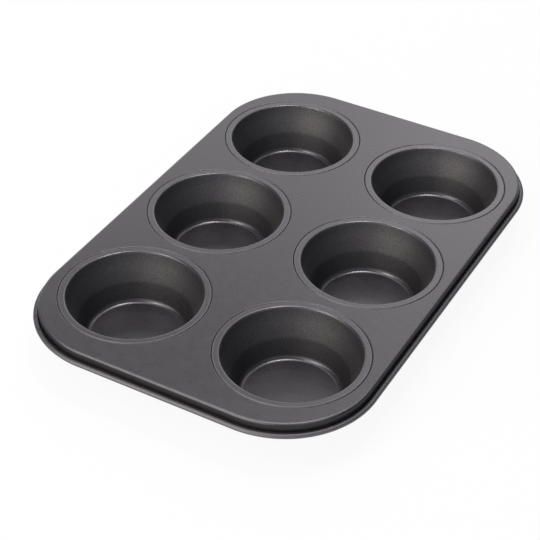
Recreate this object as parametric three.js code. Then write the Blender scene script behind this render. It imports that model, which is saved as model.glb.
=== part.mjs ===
// Muffin pan for six muffins: six drawn cups locked into a pressed top sheet with a rolled, wired rim.
// Millimetres, +Z up. The origin is on the table under the pan's centre: X runs along the short side,
// Y along the long side, and the flat bottoms of the cups stand on Z = 0.
import * as THREE from 'three';
import { mergeVertices } from 'three/addons/utils/BufferGeometryUtils.js';

// Sheet steel. Each bend radius below is the inside radius of the bend.
const SHEET_THICKNESS = 0.5;

// Cups, measured on the inside
const CUP_MOUTH_RADIUS = 35; // where the wall would meet the top of the sheet
const CUP_FOOT_RADIUS = 25.5; // where the wall would meet the floor
const CUP_DEPTH = 26;
const FOOT_BEND_RADIUS = 3;
const MOUTH_BEND_RADIUS = 0.9;

// Seam around each cup: the cup's flange is folded under, and the sheet's edge is folded up into it
const FLANGE_WIDTH = 4; // from the mouth of the cup to the fine line of the seam
const SEAM_GAP = 0.15; // between the folded layers
const HOOK_CLEARANCE = 0.55; // between the sheet's hook and the cup's wall
const STEP_BEND_RADIUS = 0.1; // top edge of the sheet where it steps down under the seam
const STEP_FOOT_RADIUS = 0.3;

// Flat top of the sheet, measured from the seams
const COLUMN_WEB_WIDTH = 12; // between the left and the right cups
const ROW_WEB_WIDTH = 5.75; // between one row of cups and the next
const SIDE_MARGIN_WIDTH = 4.7;
const END_MARGIN_WIDTH = 11.7;
const CORNER_MARGIN_WIDTH = 6.7; // by which a corner's radius is larger than a seam's

// Rim: a rounded edge, a short skirt, and a bead rolled outward and up around a wire
const EDGE_BEND_RADIUS = 1;
const SKIRT_HEIGHT = 4.4; // straight part, down to the middle of the wire
const WIRE_RADIUS = 0.6;
const WIRE_CLEARANCE = 0.15; // above and below the wire
const BEAD_SIDE_CLEARANCE = 0.5; // beside the wire, because the bead is rolled flatter than round
const BEAD_CREASE_GAP = 0.3; // between the free edge of the bead and the skirt

// Facets
const CUP_FACETS = 24;
const CORNER_FACETS = 9;
const WIRE_FACETS = 8;
const BEND_FACETS = 2;
const HEM_FACETS = 3;
const BEAD_FACETS = 8;

// Heights and angles that follow from the sizes above
const DEGREE = Math.PI / 180;
const TOP = CUP_DEPTH + SHEET_THICKNESS;
const TAPER = Math.atan2(CUP_MOUTH_RADIUS - CUP_FOOT_RADIUS, CUP_DEPTH) / DEGREE;
const BEND_TANGENT = Math.tan((90 - TAPER) / 2 * DEGREE);

// Seam: four layers lie on each other, and two of them hook into the other two
const LAYER_PITCH = SHEET_THICKNESS + SEAM_GAP;
const SEAM_RADIUS = CUP_MOUTH_RADIUS + FLANGE_WIDTH;
const HEM_RADIUS = LAYER_PITCH + SHEET_THICKNESS / 2;
const HEM_CENTRE = SEAM_RADIUS - SEAM_GAP / 2 - HEM_RADIUS;
const HOOK_DROP = LAYER_PITCH + HEM_RADIUS;
const WALL_BACK = SHEET_THICKNESS / Math.cos(TAPER * DEGREE) - HOOK_DROP * Math.tan(TAPER * DEGREE);
const HOOK_CENTRE = CUP_MOUTH_RADIUS + WALL_BACK + HOOK_CLEARANCE + HEM_RADIUS;

// Cup pattern and outline of the flat top
const COLUMN_PITCH = 2 * SEAM_RADIUS + COLUMN_WEB_WIDTH;
const ROW_PITCH = 2 * SEAM_RADIUS + ROW_WEB_WIDTH;
const TOP_WIDTH = COLUMN_PITCH + 2 * (SEAM_RADIUS + SIDE_MARGIN_WIDTH);
const TOP_LENGTH = 2 * (ROW_PITCH + SEAM_RADIUS + END_MARGIN_WIDTH);
const TOP_CORNER_RADIUS = SEAM_RADIUS + CORNER_MARGIN_WIDTH;

const nonStickSteel = new THREE.MeshStandardMaterial({
  name: 'non_stick_coated_steel', color: 0x5c5a5c, roughness: 0.45, metalness: 0.35,
});
const galvanisedWire = new THREE.MeshStandardMaterial({
  name: 'galvanised_steel_wire', color: 0x8f9193, roughness: 0.4, metalness: 0.9,
});

// A section of the sheet is a list of pairs: a point on its face and the point behind it on its back.

function bend(centreX, centreZ, faceRadius, backRadius, from, to, facets) {
  const pairs = [];
  for (let i = 0; i <= facets; i += 1) {
    const angle = (from + (to - from) * i / facets) * DEGREE;
    const x = Math.cos(angle);
    const z = Math.sin(angle);
    pairs.push({
      face: new THREE.Vector2(centreX + faceRadius * x, centreZ + faceRadius * z),
      back: new THREE.Vector2(centreX + backRadius * x, centreZ + backRadius * z),
    });
  }
  return pairs;
}

// Bend with the face of the sheet on its outside.
function outwardBend(centreX, centreZ, insideRadius, from, to, facets) {
  return bend(centreX, centreZ, insideRadius + SHEET_THICKNESS, insideRadius, from, to, facets);
}

// Bend with the face of the sheet on its inside.
function inwardBend(centreX, centreZ, insideRadius, from, to, facets) {
  return bend(centreX, centreZ, insideRadius, insideRadius + SHEET_THICKNESS, from, to, facets);
}

// Square end of a level run, with the back of the sheet below or above its face.
function levelEnd(x, faceZ, backZ) {
  return [{ face: new THREE.Vector2(x, faceZ), back: new THREE.Vector2(x, backZ) }];
}

// A cup, from the middle of its floor, up the wall and over the flange to the end of its hem.
function cupSection() {
  const floor = TOP - CUP_DEPTH;
  const footCentre = CUP_FOOT_RADIUS - FOOT_BEND_RADIUS * BEND_TANGENT;
  const mouthOutside = MOUTH_BEND_RADIUS + SHEET_THICKNESS;
  const mouthCentre = CUP_MOUTH_RADIUS + mouthOutside * BEND_TANGENT;
  const hemInside = HEM_RADIUS - SHEET_THICKNESS;
  const hemFace = TOP - 2 * HEM_RADIUS;
  return [
    ...levelEnd(0, floor, floor - SHEET_THICKNESS),
    ...inwardBend(footCentre, floor + FOOT_BEND_RADIUS, FOOT_BEND_RADIUS, -90, -TAPER, BEND_FACETS),
    ...outwardBend(mouthCentre, TOP - mouthOutside, MOUTH_BEND_RADIUS, 180 - TAPER, 90, BEND_FACETS),
    ...outwardBend(HEM_CENTRE, TOP - HEM_RADIUS, hemInside, 90, -90, HEM_FACETS),
    ...levelEnd(HOOK_CENTRE, hemFace, hemFace + SHEET_THICKNESS),
  ];
}

// The sheet's hook, from the flat top, down the step, round the cup's hem and out under its flange.
function hookSection() {
  const stepFace = SEAM_RADIUS + SEAM_GAP / 2;
  const stepOutside = STEP_BEND_RADIUS + SHEET_THICKNESS;
  const lipFace = TOP - 3 * LAYER_PITCH;
  const hookInside = HEM_RADIUS - SHEET_THICKNESS;
  const returnFace = TOP - LAYER_PITCH - SHEET_THICKNESS;
  return [
    ...outwardBend(stepFace + stepOutside, TOP - stepOutside, STEP_BEND_RADIUS, 90, 180, BEND_FACETS),
    ...inwardBend(stepFace - STEP_FOOT_RADIUS, lipFace + STEP_FOOT_RADIUS, STEP_FOOT_RADIUS, 0, -90, 1),
    ...inwardBend(HOOK_CENTRE, TOP - HOOK_DROP, hookInside, 270, 90, BEND_FACETS),
    ...levelEnd(HEM_CENTRE, returnFace, returnFace + SHEET_THICKNESS),
  ];
}

// Places on the rim's section, with x measured outward from the edge of the flat top.
function rimPlaces() {
  const skirtFace = EDGE_BEND_RADIUS + SHEET_THICKNESS;
  const insideWidth = WIRE_RADIUS + BEAD_SIDE_CLEARANCE;
  const insideHeight = WIRE_RADIUS + WIRE_CLEARANCE;
  const beadX = skirtFace + insideWidth;
  const beadZ = TOP - skirtFace - SKIRT_HEIGHT;
  const freeEdge = (BEAD_CREASE_GAP - insideWidth) / (insideWidth + SHEET_THICKNESS);
  const curlEnd = 360 + Math.acos(freeEdge) / DEGREE;
  return { skirtFace, insideWidth, insideHeight, beadX, beadZ, curlEnd };
}

// The bead, from the foot of the skirt, under the wire, up its outside and over it to the free edge.
function beadSection() {
  const { insideWidth, insideHeight, beadX, beadZ, curlEnd } = rimPlaces();
  return bend(0, 0, 1, 1, 180, curlEnd, BEAD_FACETS).map(({ face: { x, y } }) => ({
    face: new THREE.Vector2(beadX + insideWidth * x, beadZ + insideHeight * y),
    back: new THREE.Vector2(
      beadX + (insideWidth + SHEET_THICKNESS) * x,
      beadZ + (insideHeight + SHEET_THICKNESS) * y,
    ),
  }));
}

function rimSection() {
  const { skirtFace } = rimPlaces();
  return [
    ...outwardBend(0, TOP - skirtFace, EDGE_BEND_RADIUS, 90, 0, BEND_FACETS),
    ...beadSection(),
  ];
}

// One turn around a cup, at a point of its section.
function cupRing(centre, point) {
  const ring = [];
  for (let i = 0; i < CUP_FACETS; i += 1) {
    const angle = 2 * Math.PI * i / CUP_FACETS;
    const x = centre.x + point.x * Math.sin(angle);
    const y = centre.y - point.x * Math.cos(angle);
    ring.push(new THREE.Vector3(x, y, point.y));
  }
  return ring;
}

// One turn around the pan, along the outline of the flat top and as far outward as the point of the section.
function panRing(point) {
  const ring = [];
  const cornerX = TOP_WIDTH / 2 - TOP_CORNER_RADIUS;
  const cornerY = TOP_LENGTH / 2 - TOP_CORNER_RADIUS;
  const corners = [[1, 1], [-1, 1], [-1, -1], [1, -1]];
  corners.forEach(([sideX, sideY], corner) => {
    for (let i = 0; i <= CORNER_FACETS; i += 1) {
      const angle = Math.PI / 2 * (corner + i / CORNER_FACETS);
      const radius = TOP_CORNER_RADIUS + point.x;
      const x = sideX * cornerX + radius * Math.cos(angle);
      const y = sideY * cornerY + radius * Math.sin(angle);
      ring.push(new THREE.Vector3(x, y, point.y));
    }
  });
  return ring;
}

// Triangles between each ring and the next one.
function skin(rings) {
  const corners = [];
  for (let i = 0; i + 1 < rings.length; i += 1) {
    const near = rings[i];
    const far = rings[i + 1];
    near.forEach((point, k) => {
      const next = (k + 1) % near.length;
      corners.push(point, near[next], far[next]);
      corners.push(point, far[next], far[k]);
    });
  }
  return corners;
}

// Triangles of a level face with holes, seen from above or from below.
function levelFace(outline, holes, seenFromAbove) {
  const points = [outline, ...holes].flat();
  const triangles = THREE.ShapeUtils.triangulateShape(outline, holes);
  const order = seenFromAbove ? [0, 1, 2] : [0, 2, 1];
  return triangles.flatMap((triangle) => order.map((k) => points[triangle[k]]));
}

function solidFrom(corners) {
  const geometry = mergeVertices(new THREE.BufferGeometry().setFromPoints(corners));
  geometry.computeVertexNormals();
  return geometry;
}

// Outline of a section: along its face to the end, and back along its back.
function aroundEnd(section) {
  const faces = section.map((pair) => pair.face);
  const backs = section.map((pair) => pair.back);
  return [...faces, ...backs.reverse()];
}

function traySheet(centres) {
  const rim = rimSection();
  const hook = hookSection();
  const holesAt = (point) => centres.map((centre) => cupRing(centre, point));
  const hookRings = (centre) => aroundEnd(hook).map((point) => cupRing(centre, point));
  const corners = [
    ...levelFace(panRing(rim[0].face), holesAt(hook[0].face), true),
    ...levelFace(panRing(rim[0].back), holesAt(hook[0].back), false),
    ...skin(aroundEnd(rim).reverse().map(panRing)),
    ...centres.flatMap((centre) => skin(hookRings(centre))),
  ];
  return new THREE.Mesh(solidFrom(corners), nonStickSteel.clone());
}

function rimWire() {
  const { beadX, beadZ } = rimPlaces();
  const section = new THREE.EllipseCurve(beadX, beadZ, WIRE_RADIUS, WIRE_RADIUS).getPoints(WIRE_FACETS);
  return new THREE.Mesh(solidFrom(skin(section.map(panRing))), galvanisedWire);
}

function cup() {
  const outline = aroundEnd(cupSection()).reverse();
  const geometry = new THREE.LatheGeometry(outline, CUP_FACETS);
  geometry.rotateX(Math.PI / 2);
  geometry.deleteAttribute('normal');
  geometry.deleteAttribute('uv');
  const solid = mergeVertices(geometry);
  solid.computeVertexNormals();
  return new THREE.Mesh(solid, nonStickSteel.clone());
}

const pan = new THREE.Group();
const centres = [];
['front', 'middle', 'back'].forEach((row, rowIndex) => {
  ['left', 'right'].forEach((side, sideIndex) => {
    const centre = new THREE.Vector3((sideIndex - 0.5) * COLUMN_PITCH, (rowIndex - 1) * ROW_PITCH, 0);
    const piece = cup();
    piece.name = `cup_${row}_${side}`;
    piece.position.copy(centre);
    centres.push(centre);
    pan.add(piece);
  });
});

const sheet = traySheet(centres);
sheet.name = 'tray_sheet';
pan.add(sheet);

const wire = rimWire();
wire.name = 'rim_wire';
pan.add(wire);

export default pan;
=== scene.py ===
"""Muffin pan for six muffins: smooth, finished pieces built over the construction model."""
import math
from collections import namedtuple
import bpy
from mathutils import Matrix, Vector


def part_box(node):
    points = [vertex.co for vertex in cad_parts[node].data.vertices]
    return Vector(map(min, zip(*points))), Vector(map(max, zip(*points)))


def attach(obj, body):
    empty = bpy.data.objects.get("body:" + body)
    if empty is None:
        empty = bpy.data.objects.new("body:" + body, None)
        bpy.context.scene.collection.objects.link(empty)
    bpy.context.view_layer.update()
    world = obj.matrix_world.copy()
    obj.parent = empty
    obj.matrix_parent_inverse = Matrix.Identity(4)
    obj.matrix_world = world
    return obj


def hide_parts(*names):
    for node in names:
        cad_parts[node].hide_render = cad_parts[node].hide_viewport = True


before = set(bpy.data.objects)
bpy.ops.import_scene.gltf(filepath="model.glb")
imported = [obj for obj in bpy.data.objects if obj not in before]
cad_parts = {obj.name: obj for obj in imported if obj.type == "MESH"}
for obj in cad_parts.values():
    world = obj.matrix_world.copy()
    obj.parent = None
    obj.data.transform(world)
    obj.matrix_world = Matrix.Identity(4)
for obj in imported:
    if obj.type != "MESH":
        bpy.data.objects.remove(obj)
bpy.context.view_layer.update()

from types import SimpleNamespace

import bmesh
import bpy
from mathutils import Matrix, Vector
from mathutils.geometry import tessellate_polygon

bl_info = {
    "name": "Muffin Pan",
    "version": (1, 0, 0),
    "blender": (4, 5, 0),
    "location": "View3D > Sidebar > Muffin Pan",
    "description": "Builds a muffin pan of non-stick coated steel with six seamed cups and a wired rim",
    "category": "Add Mesh",
}

BODY = "root"
SHEET_NODE = "tray_sheet"
WIRE_NODE = "rim_wire"
CUP_NODES = sorted(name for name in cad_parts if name.startswith("cup_"))

MILLIMETRE = 0.001
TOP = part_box(SHEET_NODE)[1].z
CUP_LOW, CUP_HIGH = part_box(CUP_NODES[0])
CUP_RADIUS = (CUP_HIGH.x - CUP_LOW.x) / 2

# Fineness of the meshes
CUP_STEPS = 144
CORNER_STEPS = 96
SIDE_STEPS = 24
WIRE_STEPS = 16
BEND_STEP = math.radians(9)
STRAIGHT_RUN = 1.0 * MILLIMETRE  # about the shortest run that is straight and not part of a bend
SUPPORT = 0.12 * MILLIMETRE  # from the end of a straight run to the extra point that keeps it flat

# Waves of the bead's wrinkles: share of the height, radians for each corner, and radians at the start
Wave = namedtuple("Wave", "share rate shift")
WRINKLE_WAVES = (Wave(1.0, 47, 0), Wave(0.7, 83, 1.3), Wave(0.5, 131, 4))

# Depths below the top, in millimetres, between which the coating's finish changes. The edge zone holds a
# painted highlight on the sheet's top bends, and the skirt and mouth zones hold painted shade
EDGE_HIGHLIGHT_STARTS = (0, 0.1)
EDGE_HIGHLIGHT_ENDS = (0.45, 0.25)
SKIRT_SHADE_STARTS = (0.1, 1.1)
# The bead zone is painted lighter, as painted light
BEAD_STARTS = (4.4, 4.8)
FLANGE_STARTS = (0.9, 0.3)
MOUTH_SHADE_STARTS = (8, 1)
SPECKLE_STARTS = (24, 22.5)
# The same, inward from a cup's largest radius, for the hem's tip, which holds a painted highlight
HEM_TIP_STARTS = (0.8, 0.4)
# The same, by how far a surface faces up: 1 on a level top, 0 on an upright side and -1 below
UNDERSIDE_ENDS = (-0.5, -0.2)
LEVEL_ENDS = (0.75, 0.6)
OUTSIDE_ENDS = (0, 0.1)
# The limit of a wall's darker part is soft over this much, up and down
LOW_WALL_BLUR = 1.0 * MILLIMETRE

# How far the patterns change the tone, as shares of the coating's colour
FLAKE_TONES = (0.98, 1.02)
MOTTLE_TONES = (0.96, 1.04)
SPECKLE_TONES = (0.8, 1.2)
SPECKLE_NOISE = (0.3, 0.7)  # values of the noise that give those two tones
# How far the patterns change the roughness, up and down
MOTTLE_ROUGHNESS = 0.03
ZINC_CLOUD_ROUGHNESS = 0.08

ZINC_CLOUD_SIZE = 2 * MILLIMETRE
RIPPLE_HEIGHT = 0.05 * MILLIMETRE
RIPPLE_STRENGTH = 0.05
WHITE = (1, 1, 1, 1)

# Sockets of a mix node that mixes colours
MIX_START = 6
MIX_END = 7
MIX_RESULT = 2

# Soft boxes. The turn is to the right of the direction that the camera looks in.
# Turn, elevation, and the width and height that the pan sees are in degrees.
# The brightness is that of the box itself, where 1 is white.
SoftBox = namedtuple("SoftBox", "name turn elevation width height brightness colour")
SOFT_BOXES = (
    SoftBox("front_left_box", -132, 30, 62, 38, 2.8, "#fffbf1"),
    SoftBox("back_box", -4, 22, 52, 34, 1.2, "#ffffff"),
    SoftBox("top_box", 0, 69, 30, 29, 2.0, "#ffffff"),
    SoftBox("front_right_box", 149, 33, 36, 22, 0.9, "#eff8ff"),
    SoftBox("back_right_box", 28, 42, 36, 28, 0.8, "#ffffff"),
    SoftBox("low_front_box", 172, 12, 56, 18, 0.5, "#ffffff"),
    SoftBox("left_key_box", -112, 62, 15, 15, 7.6, "#ffffff"),
    SoftBox("right_key_box", 48, 80, 11, 11, 15.5, "#ffffff"),
)

# Lengths in metres
SOFT_BOX_DISTANCE = 2.0
FLOOR_REACH = 20
FLOOR_DROP = 0.1 * MILLIMETRE
SENSOR_WIDTH = 36  # in millimetres, as the camera takes it


def linear(code):
    """An sRGB colour such as #808080 as the linear red, green and blue that shaders use.

    The numbers are those of the sRGB standard.
    """
    shares = [int(code[k:k + 2], 16) / 255 for k in (1, 3, 5)]
    return tuple(s / 12.92 if s <= 0.04045 else ((s + 0.055) / 1.055) ** 2.4 for s in shares)


# Settings that a user can change


def size_property(label, description, millimetres):
    """A length that is written in millimetres."""
    return bpy.props.FloatProperty(
        name=label, description=description, default=millimetres * MILLIMETRE,
        min=0, precision=5, subtype="DISTANCE", unit="LENGTH",
    )


def angle_property(label, description, degrees):
    """An angle that is written in degrees."""
    return bpy.props.FloatProperty(
        name=label, description=description, default=math.radians(degrees),
        precision=4, subtype="ANGLE", unit="ROTATION",
    )


def colour_property(label, description, code):
    """A colour that is written as an sRGB hex value."""
    return bpy.props.FloatVectorProperty(
        name=label, description=description, default=linear(code), min=0, max=1, size=3, subtype="COLOR",
    )


def share_property(label, description, share):
    """A number from 0 to 1."""
    return bpy.props.FloatProperty(
        name=label, description=description, default=share, min=0, max=1, subtype="FACTOR",
    )


def tone_property(label, description, tone):
    """A tone as a share of the coating's colour."""
    return bpy.props.FloatProperty(
        name=label, description=f"{description}, where 1 is the coating's colour", default=tone,
        min=0, soft_max=2,
    )


class PanSizes(bpy.types.PropertyGroup):
    """Sizes of the pan. Each bend radius is the inside radius of the bend."""

    sheet_thickness: size_property("Sheet thickness", "Thickness of the steel sheet", 0.5)
    mouth_radius: size_property("Mouth radius", "Inside radius where a cup's wall would meet the top", 35)
    foot_radius: size_property("Foot radius", "Inside radius where a cup's wall would meet its floor", 25.5)
    foot_bend: size_property("Foot bend", "Bend between a cup's floor and its wall", 3)
    mouth_bend: size_property("Mouth bend", "Bend between a cup's wall and its flange", 0.9)
    flange_width: size_property("Flange width", "From a cup's mouth to the fine line of its seam", 4)
    hem_bend: size_property("Hem bend", "Level radius of the space inside the tip of a cup's hem", 0.05)
    seam_gap: size_property("Seam gap", "Between the folded layers of a seam", 0.15)
    seam_slit: size_property("Seam slit", "Width of the fine line between a cup's hem and the sheet", 0.05)
    hook_clearance: size_property("Hook clearance", "Between the sheet's hook and a cup's wall", 0.55)
    step_bend: size_property("Step bend", "Top edge of the sheet where it steps down under a seam", 0.05)
    step_foot: size_property("Step foot", "Bend at the foot of that step", 0.3)
    side_margin: size_property("Side margin", "Flat top beside the seams on the long sides", 4.7)
    end_margin: size_property("End margin", "Flat top beside the seams on the short sides", 11.7)
    corner_margin: size_property("Corner margin", "By which a corner's radius is larger than a seam's", 6.7)
    edge_bend: size_property("Edge bend", "Bend between the flat top and the skirt", 1)
    skirt_height: size_property("Skirt height", "Straight part, down to the middle of the wire", 4.4)
    wire_radius: size_property("Wire radius", "Radius of the wire in the rim", 0.6)
    wire_clearance: size_property("Wire clearance", "Above and below the wire in the bead", 0.15)
    side_clearance: size_property("Side clearance", "Beside the wire in the bead", 0.5)
    crease_gap: size_property("Crease gap", "Between the free edge of the bead and the skirt", 0.3)
    bead_wrinkle: size_property("Bead wrinkle", "Height of the wrinkles at the bead's free edge", 0.12)


class PanFinish(bpy.types.PropertyGroup):
    """Colours and gloss of the pan's materials, and the light and shade painted into some of their tones."""

    coating: colour_property("Coating", "Colour of the non-stick coating", "#605d60")
    coating_roughness: share_property("Coating roughness", "Roughness of the non-stick coating", 0.28)
    coating_metallic: share_property("Coating metallic", "Share of metal flakes in the coating", 0.9)
    matt_roughness: share_property("Matt roughness", "Roughness of the walls, edges and bead", 0.5)
    flake_size: size_property("Flake size", "Size of the coating's fine speckles", 0.6)
    mottle_size: size_property("Mottle size", "Size of the coating's cloudy spots", 5)
    peel_size: size_property("Peel size", "Size of the ripples in the sprayed coating", 1.1)
    speckle_size: size_property("Speckle size", "Size of the speckles on a cup's wall", 0.8)
    # The wall tone paints the middle of a cup's wall lighter and the mouth tone paints the wall near the
    # mouth darker: painted light and shade
    wall_tone: tone_property("Wall tone", "Tone of the middle of a cup's wall", 1.14)
    mouth_shade_tone: tone_property("Mouth tone", "Tone of a cup's wall close to its mouth", 0.84)
    low_wall: size_property("Low wall", "Height above the table up to which a cup's wall is darker", 11)
    low_wall_tone: tone_property("Low wall tone", "Tone of that part", 0.73)
    flange_tone: tone_property("Flange tone", "Tone of a cup's flange", 1.14)
    # The skirt tone is painted shade on the skirt down to the bead
    skirt_shade_tone: tone_property("Skirt tone", "Tone of the skirt", 0.38)
    # The edge tone is a painted highlight on the sheet's top bends at the seams and the rim
    edge_highlight_tone: tone_property("Edge tone", "Tone of the sheet's edges at the seams and the rim", 1.45)
    # The skirt glance dims the skirt's reflection at a flat angle: painted shade
    skirt_reflection_shade: share_property("Skirt glance", "How far the skirt mirrors at a flat angle", 0.5)
    # The bead tone paints the bead lighter: painted light
    bead_highlight_tone: tone_property("Bead tone", "Tone of the bead", 1.4)
    # The hem tone paints the tip of a cup's hem lighter: a painted highlight along the seam
    hem_highlight_tone: tone_property("Hem tone", "Tone of the tip of a cup's hem", 1.45)
    zinc: colour_property("Zinc", "Colour of the wire's zinc layer", "#a3a5a7")
    zinc_roughness: share_property("Zinc roughness", "Roughness of the wire's zinc layer", 0.4)


class StudioSettings(bpy.types.PropertyGroup):
    """Camera, light and floor."""

    camera_azimuth: angle_property("Camera azimuth", "Turn of the camera to the right of the front", 28.1239)
    camera_elevation: angle_property("Camera elevation", "Height of the camera above the horizon", 37.8069)
    camera_roll: angle_property("Camera roll", "Tilt of the camera about its own axis", 1.4361)
    camera_distance: size_property("Camera distance", "From the camera to the point that it aims at", 797.31)
    aim_x: bpy.props.FloatProperty(
        name="Aim X", description="Where the camera aims, to the right of the pan's centre",
        default=4.42 * MILLIMETRE, precision=5, subtype="DISTANCE", unit="LENGTH",
    )
    aim_y: bpy.props.FloatProperty(
        name="Aim Y", description="Where the camera aims, behind the pan's centre",
        default=-32.36 * MILLIMETRE, precision=5, subtype="DISTANCE", unit="LENGTH",
    )
    lens: bpy.props.FloatProperty(
        name="Lens", description=f"Focal length in millimetres for a sensor {SENSOR_WIDTH} mm wide",
        default=103.19, min=1,
    )
    room: colour_property("Room", "Light that comes from all round", "#6b7075")
    paper: colour_property("Paper", "Colour of the paper under the pan", "#f4f4f4")
    paper_glow: share_property("Paper glow", "How far the paper shows white in any light", 0.92)


# Sections of the sheet: lists of pairs, each a point on its face and the point behind it on its back


def bend(centre_x, centre_z, face_radius, back_radius, start, end):
    """Pairs of points round a bend, from one angle to another.

    Radii that are vectors, with a level and an upright part, flatten the bend.
    """
    steps = max(2, round(abs(end - start) / BEND_STEP))
    pairs = []
    for k in range(steps + 1):
        angle = start + (end - start) * k / steps
        centre = Vector((centre_x, centre_z))
        ray = Vector((math.cos(angle), math.sin(angle)))
        pairs.append((centre + face_radius * ray, centre + back_radius * ray))
    return pairs


def level_end(x, face_z, back_z):
    """One pair at the square end of a level run."""
    return [(Vector((x, face_z)), Vector((x, back_z)))]


def with_supports(section):
    """Add a pair close to each end of a straight run, so that smooth shading leaves the run straight."""
    dense = section[:1]
    for near, far in zip(section, section[1:]):
        run = (far[0] - near[0]).length
        if run > STRAIGHT_RUN:
            for share in (SUPPORT / run, 1 - SUPPORT / run):
                dense.append(tuple(a.lerp(b, share) for a, b in zip(near, far)))
        dense.append(far)
    return dense


def around_end(section):
    """Outline of a section: along its face to the end, and back along its back."""
    dense = with_supports(section)
    return [face for face, back in dense] + [back for face, back in reversed(dense)]


def seam_places(sizes):
    """Radii and depths of the folded layers, two of the cup's and two of the sheet's."""
    thickness = sizes.sheet_thickness
    layer = thickness + sizes.seam_gap
    fold = layer + thickness / 2
    depth = TOP - thickness
    taper = math.atan2(sizes.mouth_radius - sizes.foot_radius, depth)
    hook_drop = layer + fold
    wall_back = sizes.mouth_radius + thickness / math.cos(taper) - hook_drop * math.tan(taper)
    seam = sizes.mouth_radius + sizes.flange_width
    return SimpleNamespace(
        thickness=thickness, layer=layer, fold=fold, fold_inside=fold - thickness, taper=taper,
        hook_drop=hook_drop, seam=seam, hem=seam - sizes.seam_slit / 2 - thickness - sizes.hem_bend,
        hook=wall_back + sizes.hook_clearance + fold,
    )


def cup_section(sizes):
    """A cup, from the middle of its floor, up the wall and over the flange to the end of its hem."""
    places = seam_places(sizes)
    thickness = places.thickness
    bend_tangent = math.tan(math.pi / 4 - places.taper / 2)
    foot_x = sizes.foot_radius - sizes.foot_bend * bend_tangent
    mouth_outside = sizes.mouth_bend + thickness
    mouth_x = sizes.mouth_radius + mouth_outside * bend_tangent
    hem_face = TOP - 2 * places.fold
    hem_outside = Vector((sizes.hem_bend + thickness, places.fold))
    hem_inside = Vector((sizes.hem_bend, places.fold_inside))
    right_angle = math.pi / 2
    return [
        *level_end(0, thickness, 0),
        *bend(foot_x, thickness + sizes.foot_bend, sizes.foot_bend, sizes.foot_bend + thickness,
              -right_angle, -places.taper),
        *bend(mouth_x, TOP - mouth_outside, mouth_outside, sizes.mouth_bend,
              math.pi - places.taper, right_angle),
        *bend(places.hem, TOP - places.fold, hem_outside, hem_inside, right_angle, -right_angle),
        *level_end(places.hook, hem_face, hem_face + thickness),
    ]


def hook_section(sizes):
    """The sheet's hook, from the flat top, down the step, round the cup's hem and out under its flange."""
    places = seam_places(sizes)
    thickness = places.thickness
    step_face = places.seam + sizes.seam_slit / 2
    step_outside = sizes.step_bend + thickness
    lip_face = TOP - 3 * places.layer
    return_face = TOP - places.layer - thickness
    right_angle = math.pi / 2
    return [
        *level_end(step_face + step_outside + STRAIGHT_RUN, TOP, TOP - thickness),
        *bend(step_face + step_outside, TOP - step_outside, step_outside, sizes.step_bend,
              right_angle, math.pi),
        *bend(step_face - sizes.step_foot, lip_face + sizes.step_foot, sizes.step_foot,
              sizes.step_foot + thickness, 0, -right_angle),
        *bend(places.hook, TOP - places.hook_drop, places.fold_inside, places.fold,
              3 * right_angle, right_angle),
        *level_end(places.hem, return_face, return_face + thickness),
    ]


def rim_places(sizes):
    """Places on the rim's section, with x measured outward from the edge of the flat top."""
    skirt = sizes.edge_bend + sizes.sheet_thickness
    inside_width = sizes.wire_radius + sizes.side_clearance
    free_edge_cosine = (sizes.crease_gap - inside_width) / (inside_width + sizes.sheet_thickness)
    return SimpleNamespace(
        skirt=skirt, inside_width=inside_width, inside_height=sizes.wire_radius + sizes.wire_clearance,
        bead_x=skirt + inside_width, bead_z=TOP - skirt - sizes.skirt_height,
        curl_end=2 * math.pi + math.acos(free_edge_cosine),
    )


def edge_section(sizes):
    """The rim from the flat top, over its rounded edge and down the skirt to the bead."""
    places = rim_places(sizes)
    foot = TOP - places.skirt - sizes.skirt_height
    return [
        *level_end(-STRAIGHT_RUN, TOP, TOP - sizes.sheet_thickness),
        *bend(0, TOP - places.skirt, places.skirt, sizes.edge_bend, math.pi / 2, 0),
        (Vector((places.skirt, foot)), Vector((sizes.edge_bend, foot))),
    ]


def bead_section(sizes):
    """The bead, from the foot of the skirt, under the wire, up its outside and over it to the free edge."""
    places = rim_places(sizes)
    thickness = sizes.sheet_thickness
    centre = Vector((places.bead_x, places.bead_z))
    inside = Vector((places.inside_width, places.inside_height))
    outside = inside + Vector((thickness, thickness))
    turn = bend(0, 0, 1, 1, math.pi, places.curl_end)[1:]
    return [(centre + inside * ray, centre + outside * ray) for ray, _ in turn]


# Meshes, swept along stations: where each one stands, and which way is outward there


def cup_centre(node):
    """Middle of a cup, on the table."""
    low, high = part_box(node)
    middle = (low + high) / 2
    return Vector((middle.x, middle.y, 0))


def circle_stations(centre):
    """Stations round a cup."""
    angles = [2 * math.pi * k / CUP_STEPS for k in range(CUP_STEPS)]
    return [(centre, Vector((math.cos(angle), math.sin(angle), 0))) for angle in angles]


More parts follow.
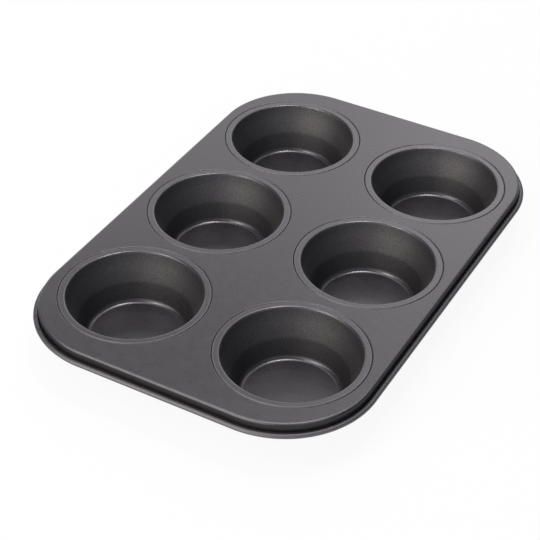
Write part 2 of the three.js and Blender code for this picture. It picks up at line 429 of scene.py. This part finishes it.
def edge_stations(sizes):
    """Stations round the edge of the flat top, along each corner and the straight side after it."""
    seam = sizes.mouth_radius + sizes.flange_width
    radius = seam + sizes.corner_margin
    centres = [cup_centre(node) for node in CUP_NODES]
    corner_x = max(centre.x for centre in centres) + seam + sizes.side_margin - radius
    corner_y = max(centre.y for centre in centres) + seam + sizes.end_margin - radius
    corners = []
    for quarter, (side_x, side_y) in enumerate([(1, 1), (-1, 1), (-1, -1), (1, -1)]):
        centre = Vector((side_x * corner_x, side_y * corner_y, 0))
        angles = [math.pi / 2 * (quarter + k / CORNER_STEPS) for k in range(CORNER_STEPS + 1)]
        rays = [Vector((math.cos(angle), math.sin(angle), 0)) for angle in angles]
        corners.append([(centre + radius * ray, ray) for ray in rays])
    stations = []
    for corner, following in zip(corners, corners[1:] + corners[:1]):
        (start, ray), (end, _) = corner[-1], following[0]
        sides = [(start.lerp(end, k / SIDE_STEPS), ray) for k in range(1, SIDE_STEPS)]
        stations += corner + sides
    return stations


def sweep(mesh, stations, outline, closed=False):
    """Carry an outline round the stations, and return its rings of vertices."""
    rings = []
    for reach, height in outline:
        rings.append([mesh.verts.new(place + reach * outward + Vector((0, 0, height)))
                      for place, outward in stations])
    following = rings[1:] + rings[:1] if closed else rings[1:]
    for near, far in zip(rings, following):
        for k in range(len(stations)):
            mesh.faces.new((near[k - 1], near[k], far[k], far[k - 1]))
    return rings


def fan(mesh, ring, height):
    """Close a ring round the axis with triangles to its middle."""
    middle = mesh.verts.new((0, 0, height))
    for k in range(len(ring)):
        mesh.faces.new((ring[k - 1], ring[k], middle))


def level_face(mesh, rings):
    """Fill the level face between an outer ring and the rings of its holes."""
    vertices = [vertex for ring in rings for vertex in ring]
    triangles = tessellate_polygon([[vertex.co for vertex in ring] for ring in rings])
    for triangle in triangles:
        mesh.faces.new([vertices[k] for k in triangle])


def wrinkle(turn):
    """Height of the bead's wrinkles, from -1 to 1, after a number of corners and a share of the next one.

    They fade out at both ends of a corner.
    """
    height = sum(wave.share * math.sin(wave.rate * turn + wave.shift) for wave in WRINKLE_WAVES)
    largest = sum(wave.share for wave in WRINKLE_WAVES)
    return height / largest * math.sin(math.pi * turn) ** 2


def wrinkle_bead(rings, stations, sizes):
    """Swell and narrow the bead at the corners, most at its free edge, where rolling gathers the sheet."""
    places = rim_places(sizes)
    outside = places.inside_height + sizes.sheet_thickness
    free_edge = (len(rings) - 1) / 2
    for number, ring in enumerate(rings):
        growth = (1 - abs(number - free_edge) / free_edge) ** 2
        for corner in range(4):
            for k in range(CORNER_STEPS + 1):
                station = corner * (CORNER_STEPS + SIDE_STEPS) + k
                place, outward = stations[station]
                centre = place + outward * places.bead_x + Vector((0, 0, places.bead_z))
                swell = sizes.bead_wrinkle * growth * wrinkle(corner + k / CORNER_STEPS)
                vertex = ring[station]
                vertex.co += (vertex.co - centre) * swell / outside


def new_piece(node, mesh, material, location=(0, 0, 0)):
    """Make the finished piece that stands for a node of the construction model."""
    bmesh.ops.recalc_face_normals(mesh, faces=mesh.faces)
    for face in mesh.faces:
        face.smooth = True
    name = f"finished_{node}"
    data = bpy.data.meshes.new(name)
    mesh.to_mesh(data)
    mesh.free()
    data.materials.append(material)
    piece = bpy.data.objects.new(name, data)
    piece.location = location
    bpy.context.scene.collection.objects.link(piece)
    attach(piece, BODY)
    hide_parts(node)


def cup_mesh(sizes):
    """A cup round the axis, closed on its inside and its outside."""
    mesh = bmesh.new()
    outline = around_end(cup_section(sizes))
    rings = sweep(mesh, circle_stations(Vector()), outline[1:-1])
    fan(mesh, rings[0], outline[0].y)
    fan(mesh, rings[-1], outline[-1].y)
    return mesh


def sheet_mesh(sizes):
    """The top sheet: a level face above and below, with the rim round it and a hook round each hole."""
    mesh = bmesh.new()
    stations = edge_stations(sizes)
    edge = edge_section(sizes)
    edge_count = len(with_supports(edge))
    rim = sweep(mesh, stations, around_end(edge + bead_section(sizes)))
    wrinkle_bead(rim[edge_count:-edge_count], stations, sizes)
    hook = around_end(hook_section(sizes))
    hooks = [sweep(mesh, circle_stations(cup_centre(node)), hook) for node in CUP_NODES]
    for side in (0, -1):
        level_face(mesh, [rim[side]] + [rings[side] for rings in hooks])
    return mesh


def wire_mesh(sizes):
    """The wire, one closed loop inside the bead."""
    mesh = bmesh.new()
    places = rim_places(sizes)
    angles = [2 * math.pi * k / WIRE_STEPS for k in range(WIRE_STEPS)]
    outline = [Vector((places.bead_x + sizes.wire_radius * math.cos(angle),
                       places.bead_z + sizes.wire_radius * math.sin(angle))) for angle in angles]
    sweep(mesh, edge_stations(sizes), outline, closed=True)
    return mesh


# Materials


def add_node(tree, kind, settings=None, inputs=None):
    """Add a node, set its options, and give its inputs values or links from other nodes' outputs."""
    node = tree.nodes.new(kind)
    for option, value in (settings or {}).items():
        setattr(node, option, value)
    for socket, value in (inputs or {}).items():
        if isinstance(value, bpy.types.NodeSocket):
            tree.links.new(value, node.inputs[socket])
        else:
            node.inputs[socket].default_value = value
    return node


def new_material(name):
    """An empty material and its output node."""
    material = bpy.data.materials.new(name)
    material.use_nodes = True
    material.node_tree.nodes.clear()
    output = add_node(material.node_tree, "ShaderNodeOutputMaterial")
    return material, material.node_tree, output


def own_place(tree):
    """Place on the piece, shifted by where the piece stands, so that no two cups have the same speckles."""
    return add_node(tree, "ShaderNodeVectorMath", {"operation": "ADD"}, {
        0: add_node(tree, "ShaderNodeTexCoord").outputs["Object"],
        1: add_node(tree, "ShaderNodeObjectInfo").outputs["Location"],
    }).outputs["Vector"]


def own_height(tree):
    """Height of the place above the table."""
    return add_node(tree, "ShaderNodeSeparateXYZ", inputs={"Vector": own_place(tree)}).outputs["Z"]


def facing_up(tree):
    """How far the surface faces up, from 1 on a level top to -1 below."""
    normal = add_node(tree, "ShaderNodeNewGeometry").outputs["Normal"]
    return add_node(tree, "ShaderNodeSeparateXYZ", inputs={"Vector": normal}).outputs["Z"]


def by_depth(height, depths):
    """A zone's limit between two depths below the top, which are in millimetres."""
    start, end = depths
    return height, TOP - start * MILLIMETRE, TOP - end * MILLIMETRE


def zone(tree, limits):
    """Share of a zone's finish that a place has, from 0 outside to 1 inside, with soft limits.

    Each limit gives a value that changes over the piece, its amount where the zone starts, and its amount
    from which the zone is whole.
    """
    share = 1.0
    for value, start, whole in limits:
        share = add_node(tree, "ShaderNodeMapRange", {"interpolation_type": "SMOOTHSTEP"}, {
            "Value": value, "From Min": start, "From Max": whole, "To Max": share,
        }).outputs["Result"]
    return share


def overlaid(tree, finish, layers):
    """A finish with others laid over it in order, each by its zone's share."""
    for share, layer in layers:
        finish = add_node(tree, "ShaderNodeMix", inputs={
            "Factor": share, "A": finish, "B": layer,
        }).outputs["Result"]
    return finish


def non_stick_coating(name, finish, shade):
    """Non-stick coating with fine metal flakes, sprayed on steel and baked.

    It gives a dark satin grey with soft highlights, a faint speckle and a slightly rippled gloss.
    The real flakes are too fine to show, so they are drawn as coarse as they need to be.
    The shade adds what is special to a piece, with its painted light and shade: a function that returns a
    share of the tone, where the coating is matt, and the colour of what it mirrors at a flat angle.
    """
    material, tree, output = new_material(name)
    place = own_place(tree)
    flakes = add_node(tree, "ShaderNodeTexVoronoi", inputs={"Vector": place, "Scale": 1 / finish.flake_size})
    flake_colour = add_node(tree, "ShaderNodeSeparateColor", inputs={"Color": flakes.outputs["Color"]})
    mottle = add_node(tree, "ShaderNodeTexNoise", inputs={
        "Vector": place, "Scale": 1 / finish.mottle_size, "Detail": 3.0,
    })
    peel = add_node(tree, "ShaderNodeTexNoise", inputs={
        "Vector": place, "Scale": 1 / finish.peel_size, "Detail": 1.0,
    })
    tone, matt, glance = shade(tree, finish)
    for pattern, (low, high) in (
        (flake_colour.outputs["Red"], FLAKE_TONES),
        (mottle.outputs["Fac"], MOTTLE_TONES),
    ):
        change = add_node(tree, "ShaderNodeMapRange", inputs={
            "Value": pattern, "To Min": low, "To Max": high,
        })
        tone = add_node(tree, "ShaderNodeMath", {"operation": "MULTIPLY"}, {
            0: tone, 1: change.outputs["Result"],
        }).outputs["Value"]
    colour = add_node(tree, "ShaderNodeMix", {"data_type": "RGBA", "blend_type": "MULTIPLY"}, {
        "Factor": 1.0, MIX_START: (*finish.coating, 1), MIX_END: tone,
    })
    satin = add_node(tree, "ShaderNodeMapRange", inputs={
        "Value": mottle.outputs["Fac"],
        "To Min": finish.coating_roughness - MOTTLE_ROUGHNESS,
        "To Max": finish.coating_roughness + MOTTLE_ROUGHNESS,
    })
    roughness = overlaid(tree, satin.outputs["Result"], [(matt, finish.matt_roughness)])
    ripple = add_node(tree, "ShaderNodeBump", inputs={
        "Strength": RIPPLE_STRENGTH, "Distance": RIPPLE_HEIGHT, "Height": peel.outputs["Fac"],
    })
    shader = add_node(tree, "ShaderNodeBsdfPrincipled", inputs={
        "Base Color": colour.outputs[MIX_RESULT], "Metallic": finish.coating_metallic,
        "Roughness": roughness, "Specular Tint": glance, "Normal": ripple.outputs["Normal"],
    })
    tree.links.new(shader.outputs["BSDF"], output.inputs["Surface"])
    return material


def sheet_shade(tree, finish):
    """The sheet is matt on its edges and its bead, which are painted lighter as painted highlights.

    Its skirt is painted darker as painted shade, and its reflection at a flat angle is dimmed as painted
    shade too.
    """
    height = own_height(tree)
    edge = zone(tree, [by_depth(height, EDGE_HIGHLIGHT_STARTS), by_depth(height, EDGE_HIGHLIGHT_ENDS)])
    skirt = zone(tree, [by_depth(height, SKIRT_SHADE_STARTS), (facing_up(tree), *UNDERSIDE_ENDS)])
    bead = zone(tree, [by_depth(height, BEAD_STARTS)])
    # The edges and the bead are painted lighter as painted highlights, and the skirt darker as painted shade
    tone = overlaid(tree, 1.0, [
        (edge, finish.edge_highlight_tone),
        (skirt, finish.skirt_shade_tone),
        (bead, finish.bead_highlight_tone),
    ])
    matt = overlaid(tree, edge, [(bead, 1.0)])
    # The skirt's reflection is dimmed as painted shade; the bead keeps its full reflection
    glance = overlaid(tree, 1.0, [(skirt, finish.skirt_reflection_shade), (bead, 1.0)])
    return tone, matt, glance


def cup_shade(tree, finish):
    """A cup's wall is matt and speckled, painted lighter in the middle and darker near its mouth as painted
    light and shade, and darker low down. Its flange is lighter, and the hem's tip is painted lighter still
    as a painted highlight.

    The real speckles are too fine to show, so they are drawn as coarse as they need to be.
    """
    height = own_height(tree)
    up = facing_up(tree)
    # The tip of the hem lies farthest from the middle of the cup's underside
    reach = add_node(tree, "ShaderNodeVectorMath", {"operation": "LENGTH"}, {
        0: add_node(tree, "ShaderNodeTexCoord").outputs["Object"],
    }).outputs["Value"]
    tip_start, tip_whole = (math.hypot(CUP_RADIUS - margin * MILLIMETRE, TOP) for margin in HEM_TIP_STARTS)
    tip = zone(tree, [(reach, tip_start, tip_whole)])
    wall = zone(tree, [(up, *LEVEL_ENDS), (up, *OUTSIDE_ENDS), (reach, tip_whole, tip_start)])
    low_wall = zone(tree, [(height, finish.low_wall + LOW_WALL_BLUR, finish.low_wall - LOW_WALL_BLUR)])
    mouth = zone(tree, [by_depth(height, MOUTH_SHADE_STARTS)])
    flange = zone(tree, [by_depth(height, FLANGE_STARTS)])
    speckled = zone(tree, [by_depth(height, SPECKLE_STARTS)])
    speckle_noise = add_node(tree, "ShaderNodeTexNoise", inputs={
        "Vector": own_place(tree), "Scale": 1 / finish.speckle_size, "Detail": 2.0,
    })
    speckle_tone = add_node(tree, "ShaderNodeMapRange", inputs={
        "Value": speckle_noise.outputs["Fac"],
        "From Min": SPECKLE_NOISE[0], "From Max": SPECKLE_NOISE[1],
        "To Min": SPECKLE_TONES[0], "To Max": SPECKLE_TONES[1],
    })
    # The middle of the wall is painted lighter and the part near the mouth darker, as painted light and
    # shade; the low part is darker too
    wall_tone = add_node(tree, "ShaderNodeMath", {"operation": "MULTIPLY"}, {
        0: overlaid(tree, finish.wall_tone, [(mouth, finish.mouth_shade_tone), (low_wall, finish.low_wall_tone)]),
        1: overlaid(tree, 1.0, [(speckled, speckle_tone.outputs["Result"])]),
    })
    # The hem's tip is painted lighter, a painted highlight along the seam
    tone = overlaid(tree, 1.0, [
        (flange, finish.flange_tone),
        (tip, finish.hem_highlight_tone),
        (wall, wall_tone.outputs["Value"]),
    ])
    matt = overlaid(tree, wall, [(tip, 1.0)])
    return tone, matt, WHITE


def galvanised_steel(name, finish):
    """Steel wire dipped in zinc, which leaves a pale, slightly cloudy metal."""
    material, tree, output = new_material(name)
    place = add_node(tree, "ShaderNodeTexCoord").outputs["Object"]
    cloud = add_node(tree, "ShaderNodeTexNoise", inputs={
        "Vector": place, "Scale": 1 / ZINC_CLOUD_SIZE, "Detail": 2.0,
    })
    roughness = add_node(tree, "ShaderNodeMapRange", inputs={
        "Value": cloud.outputs["Fac"],
        "To Min": finish.zinc_roughness - ZINC_CLOUD_ROUGHNESS,
        "To Max": finish.zinc_roughness + ZINC_CLOUD_ROUGHNESS,
    })
    shader = add_node(tree, "ShaderNodeBsdfPrincipled", inputs={
        "Base Color": (*finish.zinc, 1), "Metallic": 1.0, "Roughness": roughness.outputs["Result"],
    })
    tree.links.new(shader.outputs["BSDF"], output.inputs["Surface"])
    return material


def studio_paper(name, studio):
    """White paper that shows white to the camera and in reflections, with a faint shadow under the pan.

    It is clear from below, so that the underside of the pan can be looked at.
    """
    material, tree, output = new_material(name)
    path = add_node(tree, "ShaderNodeLightPath")
    seen = add_node(tree, "ShaderNodeMath", {"operation": "MAXIMUM"}, {
        0: path.outputs["Is Camera Ray"], 1: path.outputs["Is Glossy Ray"],
    })
    seen_or_through = add_node(tree, "ShaderNodeMath", {"operation": "MAXIMUM"}, {
        0: seen.outputs["Value"], 1: path.outputs["Is Transmission Ray"],
    })
    glow_share = add_node(tree, "ShaderNodeMath", {"operation": "MULTIPLY"}, {
        0: seen_or_through.outputs["Value"], 1: studio.paper_glow,
    })
    matt = add_node(tree, "ShaderNodeBsdfDiffuse", inputs={"Color": (*studio.paper, 1)})
    glow = add_node(tree, "ShaderNodeEmission", inputs={"Color": WHITE, "Strength": 1.0})
    lit = add_node(tree, "ShaderNodeMixShader", inputs={
        0: glow_share.outputs["Value"], 1: matt.outputs["BSDF"], 2: glow.outputs["Emission"],
    })
    clear = add_node(tree, "ShaderNodeBsdfTransparent")
    side = add_node(tree, "ShaderNodeNewGeometry").outputs["Backfacing"]
    shown = add_node(tree, "ShaderNodeMixShader", inputs={
        0: side, 1: lit.outputs["Shader"], 2: clear.outputs["BSDF"],
    })
    tree.links.new(shown.outputs["Shader"], output.inputs["Surface"])
    return material


# Stage


def add_camera(studio):
    """The camera at the photograph's angle."""
    azimuth, elevation = studio.camera_azimuth, studio.camera_elevation
    back = Vector((math.sin(azimuth) * math.cos(elevation), -math.cos(azimuth) * math.cos(elevation),
                   math.sin(elevation)))
    aim = Vector((studio.aim_x, studio.aim_y, TOP))
    data = bpy.data.cameras.new("camera")
    data.sensor_width = SENSOR_WIDTH
    data.lens = studio.lens
    camera = bpy.data.objects.new("camera", data)
    turn = (-back).to_track_quat("-Z", "Y").to_matrix() @ Matrix.Rotation(studio.camera_roll, 3, "Z")
    camera.matrix_world = Matrix.Translation(aim + back * studio.camera_distance) @ turn.to_4x4()
    bpy.context.scene.collection.objects.link(camera)
    bpy.context.scene.camera = camera


def add_soft_box(studio, box):
    """A soft box that faces the pan."""
    heading = math.pi / 2 + studio.camera_azimuth - math.radians(box.turn)
    rise = math.radians(box.elevation)
    level = math.cos(rise)
    towards = Vector((math.cos(heading) * level, math.sin(heading) * level, math.sin(rise)))
    data = bpy.data.lights.new(box.name, "AREA")
    data.shape = "RECTANGLE"
    data.size = 2 * SOFT_BOX_DISTANCE * math.tan(math.radians(box.width) / 2)
    data.size_y = 2 * SOFT_BOX_DISTANCE * math.tan(math.radians(box.height) / 2)
    data.energy = box.brightness * math.pi * data.size * data.size_y
    data.color = linear(box.colour)
    lamp = bpy.data.objects.new(box.name, data)
    place = Matrix.Translation(towards * SOFT_BOX_DISTANCE)
    lamp.matrix_world = place @ towards.to_track_quat("Z", "Y").to_matrix().to_4x4()
    bpy.context.scene.collection.objects.link(lamp)


def add_room(studio):
    """Even light from all round."""
    world = bpy.data.worlds.new("studio_room")
    world.use_nodes = True
    world.node_tree.nodes.clear()
    output = add_node(world.node_tree, "ShaderNodeOutputWorld")
    light = add_node(world.node_tree, "ShaderNodeBackground", inputs={
        "Color": (*studio.room, 1), "Strength": 1.0,
    })
    world.node_tree.links.new(light.outputs["Background"], output.inputs["Surface"])
    bpy.context.scene.world = world


def add_floor(studio):
    """A wide sheet of paper just under the pan."""
    mesh = bmesh.new()
    bmesh.ops.create_grid(mesh, x_segments=1, y_segments=1, size=FLOOR_REACH)
    data = bpy.data.meshes.new("paper_floor")
    mesh.to_mesh(data)
    mesh.free()
    data.materials.append(studio_paper("studio_paper", studio))
    floor = bpy.data.objects.new("paper_floor", data)
    floor.location.z = -FLOOR_DROP
    bpy.context.scene.collection.objects.link(floor)


# Operators


class MakeStage(bpy.types.Operator):
    """Make the camera, the light and the floor"""

    bl_idname = "muffin_pan.make_stage"
    bl_label = "Make Stage"

    def execute(self, context):
        studio = context.scene.pan_studio
        context.scene.view_settings.view_transform = "Standard"
        add_camera(studio)
        add_room(studio)
        add_floor(studio)
        for box in SOFT_BOXES:
            add_soft_box(studio, box)
        return {"FINISHED"}


class MakeTraySheet(bpy.types.Operator):
    """Make the pressed top sheet with its rolled rim"""

    bl_idname = "muffin_pan.make_tray_sheet"
    bl_label = "Make Tray Sheet"

    def execute(self, context):
        coating = non_stick_coating("non_stick_coated_sheet", context.scene.pan_finish, sheet_shade)
        new_piece(SHEET_NODE, sheet_mesh(context.scene.pan_sizes), coating)
        return {"FINISHED"}


class MakeCups(bpy.types.Operator):
    """Make the six drawn cups"""

    bl_idname = "muffin_pan.make_cups"
    bl_label = "Make Cups"

    def execute(self, context):
        coating = non_stick_coating("non_stick_coated_cup", context.scene.pan_finish, cup_shade)
        for node in CUP_NODES:
            new_piece(node, cup_mesh(context.scene.pan_sizes), coating, cup_centre(node))
        return {"FINISHED"}


class MakeRimWire(bpy.types.Operator):
    """Make the wire in the rolled rim"""

    bl_idname = "muffin_pan.make_rim_wire"
    bl_label = "Make Rim Wire"

    def execute(self, context):
        zinc = galvanised_steel("galvanised_steel_wire", context.scene.pan_finish)
        new_piece(WIRE_NODE, wire_mesh(context.scene.pan_sizes), zinc)
        return {"FINISHED"}


class MuffinPanPanel(bpy.types.Panel):
    """Settings of the pan and the steps that make it"""

    bl_idname = "VIEW3D_PT_muffin_pan"
    bl_label = "Muffin Pan"
    bl_space_type = "VIEW_3D"
    bl_region_type = "UI"
    bl_category = "Muffin Pan"

    def draw(self, context):
        for title, group in (
            ("Sizes", context.scene.pan_sizes),
            ("Finish", context.scene.pan_finish),
            ("Studio", context.scene.pan_studio),
        ):
            box = self.layout.box()
            box.label(text=title)
            for name in type(group).__annotations__:
                box.prop(group, name)
        for operator in OPERATORS:
            self.layout.operator(operator.bl_idname)


GROUPS = {"pan_sizes": PanSizes, "pan_finish": PanFinish, "pan_studio": StudioSettings}
OPERATORS = (MakeStage, MakeTraySheet, MakeCups, MakeRimWire)
CLASSES = (*GROUPS.values(), *OPERATORS, MuffinPanPanel)


def register():
    for each in CLASSES:
        bpy.utils.register_class(each)
    for name, group in GROUPS.items():
        setattr(bpy.types.Scene, name, bpy.props.PointerProperty(type=group))


def unregister():
    for name in GROUPS:
        delattr(bpy.types.Scene, name)
    for each in reversed(CLASSES):
        bpy.utils.unregister_class(each)


def main():
    """Make the stage and the pieces in order."""
    register()
    bpy.ops.muffin_pan.make_stage()
    bpy.ops.muffin_pan.make_tray_sheet()
    bpy.ops.muffin_pan.make_cups()
    bpy.ops.muffin_pan.make_rim_wire()


if __name__ == "__main__":
    main()
